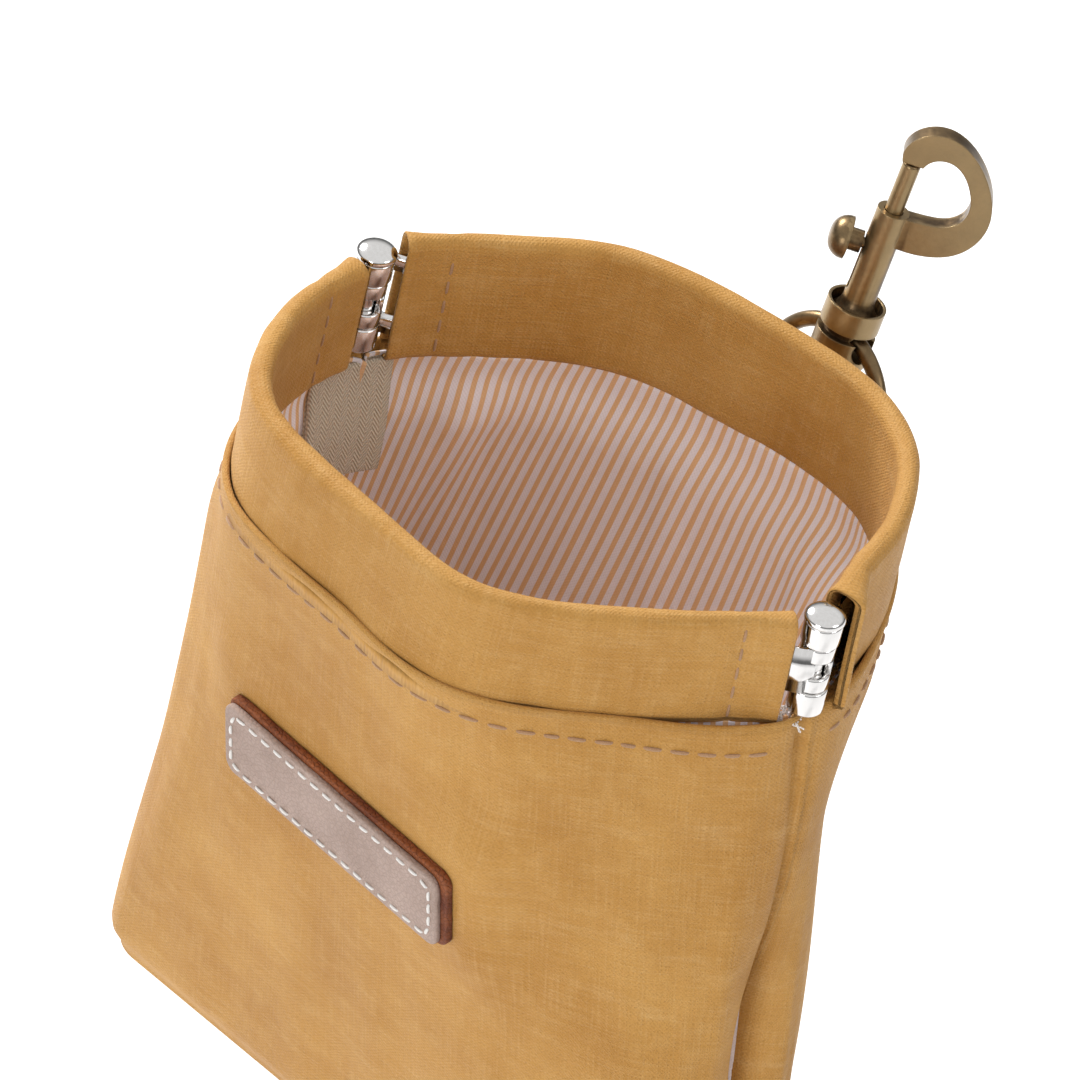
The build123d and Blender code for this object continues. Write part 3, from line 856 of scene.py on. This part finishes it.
# ---------------------------------------------------------------- stitching
def stitch_row(name, points, ups, material, replaces, radius=0.26, gap=0.28):
    """Stitches laid along a row of points, each with its own outward direction."""
    b = bmesh.new()
    for (one, two), up in zip(zip(points, points[1:]), ups):
        trim = (two - one) * gap / 2
        jig = Vector((0, 0, random.uniform(-0.06, 0.06))) * MM
        capsule(b, one + trim + jig, two - trim - jig, radius * MM, 0.8, up)
    finish_piece(from_bmesh(name, b), material, replaces=replaces)


def topstitch(name, first, last, replaces):
    """Topstitch below the bag's ridge, from one side seam to the other."""
    pitch, below_ridge = 3.3 / ALONG, 97.2
    points, ups = [], []
    i = first
    while i < last:
        z = below_ridge + 0.25 * ripple(i * ALONG * 0.05, 21.0)
        k = int(round(i)) % AROUND
        p = canvas_surface(k, z) + Vector((0, 0, ridge_wave(k)))
        out = mouth_out[k]
        points.append(place(p.x + out[0] * 0.12, p.y + out[1] * 0.12, p.z))
        ups.append(Vector((out[0], out[1], 0.1)).normalized())
        i += pitch
    stitch_row(name, points, ups, THREAD, replaces)


step_in = int(4 / ALONG)
front_first, front_last = SEAMS
topstitch("front_topstitch_row", front_first + step_in, front_last - step_in, ["front_topstitch"])
topstitch("back_topstitch_row", front_last + step_in, front_first + AROUND - step_in, ["back_topstitch"])


def end_stitches():
    """Vertical stitches that close each casing near its hinge."""
    b = bmesh.new()
    stitch, pitch = 2.2, 3.1
    for tube in (front_tube, back_tube):
        for u in (CASING_START + HEM / tube.length, CASING_STOP - HEM / tube.length):
            for side in (1, -1):
                z = CASING_LOW + 0.6
                reach = side * (CASING_HALF + 0.05)
                while z < tube.high - 3.0:
                    low, high = (tube.place_on(u, side, reach, level)[0] for level in (z, z + stitch))
                    inner, _ = tube.place_on(u, side, 0.0, z)
                    capsule(b, place(*low), place(*high), 0.19 * MM, 0.8, (low - inner).normalized())
                    z += pitch
    finish_piece(from_bmesh("casing_hem_stitches", b), THREAD, replaces=["casing_end_stitches"])


end_stitches()


# ---------------------------------------------------------------- label
def slab(name, width, height, corner, thickness, centre_xy, base_depth, bevel, seed):
    """A leather slab with rounded corners and edges, lying in the label's plane."""
    outline = corner_arcs(width / 2, height / 2, corner, 9, 0)
    dense = []
    for (ax, ay), (bx, by) in zip(outline, outline[1:] + outline[:1]):
        steps = max(1, int(math.hypot(bx - ax, by - ay) / 0.8))
        for k in range(steps):
            t = k / steps
            dense.append((ax + (bx - ax) * t, ay + (by - ay) * t))
    levels = [(0.0, bevel * 0.4), (bevel * 0.4, 0.0), (thickness - bevel, 0.0)]
    for a in (0.5, 1.0, math.pi / 2):
        levels.append((thickness - bevel + bevel * math.sin(a), bevel - bevel * math.cos(a)))
    levels += [(thickness, bevel + extra) for extra in (0.3, 0.8, 1.6, 3.0)]
    rows = []
    for rise, inset in levels:
        row = []
        for x, y in dense:
            sx = (width / 2 - inset) / (width / 2)
            sy = (height / 2 - inset) / (height / 2)
            rough = 0.10 * ripple(x * 0.5 + seed, y * 0.5) * (1 if inset < bevel else 0)
            sag = 0.12 * ripple(x * 0.06 + seed, y * 0.1, 3.0)
            px = x * sx + centre_xy[0] + rough
            py = y * sy + centre_xy[1] + rough
            p = label_back + label_x * px + label_y * py + label_normal * (base_depth + rise + sag)
            row.append(place(*p))
        rows.append(row)
    n = len(dense)
    faces = [tuple(reversed(range(n))), tuple((len(rows) - 1) * n + i for i in range(n))]
    for j in range(len(rows) - 1):
        for i in range(n):
            k = (i + 1) % n
            faces.append((j * n + i, j * n + k, (j + 1) * n + k, (j + 1) * n + i))
    return new_mesh(name, [p for row in rows for p in row], faces)


label_base = slab("label_saddle_leather", LABEL_WIDTH, LABEL_HEIGHT, 2.0, LABEL_BASE, (0, 0), 0.0, 0.25, 2.0)
finish_piece(label_base, SADDLE_LEATHER, replaces=["label_base"])
label_face = slab(
    "label_pale_leather", FACE_WIDTH, FACE_HEIGHT, 1.9, LABEL_FACE, FACE_SHIFT, LABEL_BASE, 0.3, 5.0
)
finish_piece(label_face, PALE_LEATHER, replaces=["label_face"])


def label_stitches():
    """White stitches round the label, parallel to its edge."""
    margin, corner, pitch = 1.3, 0.9, 2.35
    corners = corner_arcs(FACE_WIDTH / 2 - margin, FACE_HEIGHT / 2 - margin, corner, 5, 0)
    p = np.array(corners + corners[:1])
    run = run_along(p)
    count = int(run[-1] / pitch)
    points = []
    for k in range(count + 1):
        d = run[-1] * k / count
        x, y = np.interp(d, run, p[:, 0]) + FACE_SHIFT[0], np.interp(d, run, p[:, 1]) + FACE_SHIFT[1]
        q = label_back + label_x * x + label_y * y + label_normal * (LABEL_BASE + LABEL_FACE + 0.10)
        points.append(place(*q))
    ups = [label_normal] * count
    stitch_row("label_stitch_row", points, ups, LABEL_THREAD, ["label_stitching"], 0.24, 0.3)


label_stitches()


# ---------------------------------------------------------------- spring strips and hinges
def strip_blade(name, line, out_sign, tongues):
    """A flat spring strip inside its casing, narrowing to tongues at the hinges."""
    path, _ = smooth_line(line, 400)
    side = normals_of(path) * out_sign
    low, high = 102.5, 115.5

    def ribbon(a, b, z0, z1, half, wrap=0.0):
        verts, faces = [], []
        for k in range(a, b):
            shift = wrap * soft((22 - min(k, 399 - k)) / 17)
            for reach, z in ((shift - half, z0), (shift - half, z1), (shift + half, z1), (shift + half, z0)):
                verts.append(place(path[k][0] + side[k][0] * reach, path[k][1] + side[k][1] * reach, z))
        for k in range(b - a - 1):
            for j in range(4):
                m = (j + 1) % 4
                faces.append((k * 4 + j, k * 4 + m, (k + 1) * 4 + m, (k + 1) * 4 + j))
        faces.append((3, 2, 1, 0))
        e = (b - a - 1) * 4
        faces.append((e, e + 1, e + 2, e + 3))
        return new_mesh("ribbon", verts, faces, smooth=False)

    parts = [ribbon(14, 386, low, high, 0.25)]
    for z0, z1 in tongues:
        for a, b in ((1, 26), (374, 399)):
            parts.append(ribbon(a, b, max(z0, low), min(z1, high), 0.24, 1.75))
    return join(name, parts)


TOP_KNUCKLE, MIDDLE_KNUCKLE, LOW_KNUCKLE = (112.9, 116.3), (105.7, 112.8), (101.9, 105.6)
front_strip = strip_blade("front_strip_blade", FRONT_LINE, 1, [MIDDLE_KNUCKLE])
back_strip = strip_blade("back_strip_blade", BACK_LINE, -1, [TOP_KNUCKLE, LOW_KNUCKLE])
finish_piece(front_strip, NICKEL, replaces=["front_spring_strip"])
finish_piece(back_strip, NICKEL, replaces=["back_spring_strip"])


def knuckle_profile(radius, low, high, bevel=0.28, bore=1.24):
    """Half section of one rolled knuckle, with rounded lips."""
    return [
        (bore, low + 0.1),
        (bore + 0.15, low),
        (radius - bevel, low),
        (radius - bevel * 0.3, low + bevel * 0.3),
        (radius, low + bevel),
        (radius, high - bevel),
        (radius - bevel * 0.3, high - bevel * 0.3),
        (radius - bevel, high),
        (bore + 0.15, high),
        (bore, high - 0.1),
    ]


def hinge_knuckles(name, hinge_x, facing):
    """The rolled knuckles of both strips on one pin. facing is the angle of the middle one's window."""
    axis_point = place(hinge_x, 0, 0)
    rolls = [
        lathe("top", knuckle_profile(2.55, *TOP_KNUCKLE), axis_point),
        lathe("low", knuckle_profile(2.45, *LOW_KNUCKLE), axis_point),
    ]
    low, high = MIDDLE_KNUCKLE
    window_low, window_high = low + 2.3, high - 2.3
    turn = Vector((math.cos(facing), math.sin(facing), 0))
    rolls.append(lathe("mid_low", knuckle_profile(2.3, low, window_low), axis_point))
    rolls.append(lathe("mid_high", knuckle_profile(2.3, window_high, high), axis_point))
    web_low, web_high, web_in, web_out = window_low - 0.2, window_high + 0.2, 1.45, 2.28
    web = [(web_in, web_low), (web_out, web_low), (web_out, web_high), (web_in, web_high)]
    rolls.append(lathe("mid_web", web, axis_point, side=turn, steps=40, sweep=(55.0, 305.0)))
    finish_piece(join(name, rolls), NICKEL, flatten=False)


hinge_knuckles("left_hinge_knuckles", -HINGE_X, math.radians(-40))
hinge_knuckles("right_hinge_knuckles", HINGE_X, math.radians(-20))


def pin_piece(name, hinge_x, body, node):
    """A rivet pin with a domed head and a small peened foot."""
    neck, foot, rim, shank, head = 116.4, 101.6, 0.45, 1.2, 2.7
    profile = [(0.0, foot), (1.5, foot), (1.8, foot + 0.08), (1.8, foot + 0.2), (shank, foot + 0.25)]
    profile += [(shank, neck), (2.5, neck), (2.68, neck + 0.1), (2.72, neck + 0.25), (head, neck + rim)]
    steps = 10
    dome = CAP_TOP - neck - rim
    for k in range(1, steps + 1):
        a = math.pi / 2 * k / steps
        profile.append((head * math.cos(a) if k < steps else 0.0, neck + rim + dome * math.sin(a)))
    pin = lathe(name, profile, place(hinge_x, 0, 0), steps=56)
    finish_piece(pin, NICKEL, body=body, replaces=[node], flatten=False)


pin_piece("left_rivet_pin", -HINGE_X, "left_hinge", "left_hinge_pin")
pin_piece("right_rivet_pin", HINGE_X, "right_hinge", "right_hinge_pin")

# ---------------------------------------------------------------- hardware that keeps its CAD shape
for node in ("ring", "swivel_eye", "snap_body", "snap_bolt", "bolt_knob", "bolt_spring"):
    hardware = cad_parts[node].data
    hardware.materials.clear()
    hardware.materials.append(STEEL if node == "bolt_spring" else BRASS)


def make_ring_tab():
    """The canvas loop that holds the ring, its two ends sewn under the back casing, with its stitches."""
    low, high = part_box("ring_tab")
    middle_x = own((low + high) / 2).x
    half = (high.x - low.x) / MM / 2
    ring_low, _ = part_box("ring")
    wire, radius = 1.05, 2.35
    centre = Vector((39.2, own(ring_low).z + wire))
    path = [Vector((37.75, 101.6)), Vector((37.6, 100.4)), Vector((37.35, 99.2)), Vector((37.0, 98.0))]
    for a in np.radians(np.linspace(165, 395, 22)):
        path.append(centre + Vector((math.cos(a), math.sin(a))) * radius)
    path += [Vector((40.1, 99.2)), Vector((39.2, 100.3)), Vector((38.7, 101.6))]
    line, length = smooth_line(path, 70)
    rows, cloth = [], []
    for k, (y, z) in enumerate(line):
        row, weave = [], []
        for j in range(21):
            x = middle_x + (j / 20 - 0.5) * 2 * half
            sway = 0.12 * ripple(x * 0.4, k * 0.12)
            row.append(place(x, y + sway, z + sway))
            weave.append((x, k * length / 69, 0))
        rows.append(row)
        cloth.append(weave)
    loop = thicken(grid("ring_loop", rows, False, cloth), 0.75, offset=0.0)
    finish_piece(loop, CANVAS, body="back_tab", replaces=["ring_tab"], flatten=False)
    b = bmesh.new()
    pitch, stitch = 1.7, 1.3
    for row_z in (100.5, 99.5):
        for k in range(4):
            x = middle_x - half + 1.0 + k * pitch
            y = float(np.interp(row_z, [99.2, 100.3], [40.1, 39.2])) + 0.42
            capsule(b, place(x, y, row_z), place(x + stitch, y, row_z), 0.18 * MM, 0.8, Vector((0, 1, 0)))
    stitches = from_bmesh("ring_loop_stitches", b)
    finish_piece(stitches, THREAD, body="back_tab", replaces=["ring_tab_stitching"], flatten=False)


make_ring_tab()


# ---------------------------------------------------------------- webbing tab inside
def make_webbing():
    """A folded herringbone tape that hangs from the side seam inside the mouth."""
    low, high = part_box("inner_webbing_tab")
    middle = own((low + high) / 2)
    turn = math.radians(75)
    along = Vector((math.cos(turn), math.sin(turn), 0))
    across = Vector((-along.y, along.x, 0))
    width, drop, thick = 12.0, (high.z - low.z) / MM, 0.8
    path = []
    count = 30
    for k in range(count + 1):
        path.append((0.45 + 0.05 * math.sin(k * 0.3), drop / 2 - (drop - 1.2) * k / count))
    for k in range(1, 8):
        a = math.pi * k / 8
        path.append((0.45 * math.cos(a), -drop / 2 + 1.2 - 0.8 * math.sin(a)))
    for k in range(count + 1):
        path.append((-0.45, -drop / 2 + 1.2 + (drop - 1.2) * k / count))
    rows, cloth = [], []
    run = 0.0
    for k, (reach, z) in enumerate(path):
        if k:
            run += math.hypot(reach - path[k - 1][0], z - path[k - 1][1])
        row, weave = [], []
        for j in range(25):
            s = (j / 24 - 0.5) * width
            bend = 0.5 * math.cos(s * 0.22) + 0.35 * ripple(s * 0.1, z * 0.08) + 1.6 * soft((z + 3) / 12)
            p = middle + along * s + across * (reach + bend) + Vector((0, 0, z))
            row.append(place(*p))
            weave.append((s, run, 0))
        rows.append(row)
        cloth.append(weave)
    tape = thicken(grid("webbing_fold", rows, False, cloth), thick * 0.8, offset=0.0)
    finish_piece(tape, WEBBING, replaces=["inner_webbing_tab"])


make_webbing()


# ---------------------------------------------------------------- frayed lining threads under the right hinge
def make_fray():
    """Short loose threads of the lining at the seam below the right hinge."""
    b = bmesh.new()
    for k in range(60):
        side = random.choice((-1, 1))
        x, y, z = random.uniform(-2.6, 0.8), side * random.uniform(0.0, 3.4), random.uniform(0, 0.8)
        start = Vector((HINGE_X + x, y, 100.0 + z))
        x, y, z = random.uniform(-0.6, 0.8), side * random.uniform(-0.5, 0.5), random.uniform(0.1, 1.0)
        heading = Vector((x, y, z))
        length = random.uniform(0.8, 2.0)
        points = [start]
        for _ in range(5):
            x, y, z = random.uniform(-0.4, 0.4), random.uniform(-0.4, 0.4), random.uniform(-0.45, 0.2)
            heading += Vector((x, y, z))
            points.append(points[-1] + heading.normalized() * length / 5)
        for one, two in zip(points, points[1:]):
            capsule(b, place(*one), place(*two), 0.11 * MM, 1.0, Vector((0.3, 0.5, 0.8)), sides=6)
    threads = from_bmesh("frayed_lining_threads", b)
    finish_piece(threads, FRAY)


make_fray()


# ---------------------------------------------------------------- floor, light and camera
def make_floor():
    """A plain pale floor well below the hanging pouch."""
    drop, half = 0.12, 3.0
    b = bmesh.new()
    bmesh.ops.create_grid(b, x_segments=8, y_segments=8, size=half)
    floor = from_bmesh("floor", b)
    floor.location = (0, 0, ORIGIN.z - drop)
    s = Shader("pale_floor")
    s.set(Base_Color=(0.94, 0.94, 0.94), Roughness=0.95, Specular_IOR_Level=0.0)
    floor.data.materials.append(s.material)


def area_light(name, position, target, size, power):
    light = bpy.data.lights.new(name, "AREA")
    light.shape = "DISK"
    light.size = size
    light.energy = power
    obj = bpy.data.objects.new(name, light)
    bpy.context.scene.collection.objects.link(obj)
    obj.location = position
    obj.visible_camera = False
    obj.rotation_mode = "QUATERNION"
    obj.rotation_quaternion = (Vector(target) - Vector(position)).to_track_quat("-Z", "Y")


def make_light():
    """A pale studio, darker towards the horizon so that metal has something to mirror."""
    world = bpy.data.worlds.new("studio")
    bpy.context.scene.world = world
    world.use_nodes = True
    tree = world.node_tree
    where = tree.nodes.new("ShaderNodeTexCoord")
    split = tree.nodes.new("ShaderNodeSeparateXYZ")
    height = tree.nodes.new("ShaderNodeMapRange")
    height.interpolation_type = "SMOOTHSTEP"
    height.inputs[1].default_value, height.inputs[2].default_value = 0.10, 0.55
    height.inputs[3].default_value, height.inputs[4].default_value = 0.16, 1.0
    tree.links.new(where.outputs["Generated"], split.inputs[0])
    tree.links.new(split.outputs[2], height.inputs[0])
    tree.links.new(height.outputs[0], tree.nodes["Background"].inputs[0])
    tree.nodes["Background"].inputs[1].default_value = 0.85
    middle = place(0, 0, 70)
    area_light("key", middle + Vector((-1.00, 0.15, 0.72)), middle, 0.5, 17.0)
    area_light("front", middle + Vector((0.30, -1.10, 0.25)), middle, 0.5, 4.6)
    area_light("right", middle + Vector((1.05, 0.35, 0.60)), middle, 0.6, 2.0)


AZIMUTH, ELEVATION, ROLL = math.radians(38), math.radians(39), math.radians(13)
FOCAL, SENSOR = 1200.0, 36.0
FRAME_MM = 136.5


def make_camera():
    """The viewing angle, with the mouth's middle a little right of and above the frame's centre."""
    level_back = Vector((math.sin(AZIMUTH), -math.cos(AZIMUTH), 0))
    back = level_back * math.cos(ELEVATION) + Vector((0, 0, math.sin(ELEVATION)))
    level_right = Vector((math.cos(AZIMUTH), math.sin(AZIMUTH), 0))
    level_up = back.cross(level_right)
    right = level_right * math.cos(ROLL) + level_up * math.sin(ROLL)
    up = back.cross(right)
    mouth_right, mouth_up = 7.81, 14.35
    target = place(0, 0, CAP_TOP) - (right * mouth_right + up * mouth_up) * MM
    data = bpy.data.cameras.new("camera")
    data.lens, data.sensor_width = FOCAL, SENSOR
    cam = bpy.data.objects.new("camera", data)
    bpy.context.scene.collection.objects.link(cam)
    distance = FRAME_MM * MM * FOCAL / SENSOR
    data.clip_start, data.clip_end = 0.05, 20.0
    turn = Matrix((right, up, back)).transposed().to_4x4()
    cam.matrix_world = Matrix.Translation(target + back * distance) @ turn
    bpy.context.scene.camera = cam


make_floor()
make_light()
make_camera()
bpy.context.scene.view_settings.view_transform = "Standard"
bpy.context.scene.view_settings.look = "None"
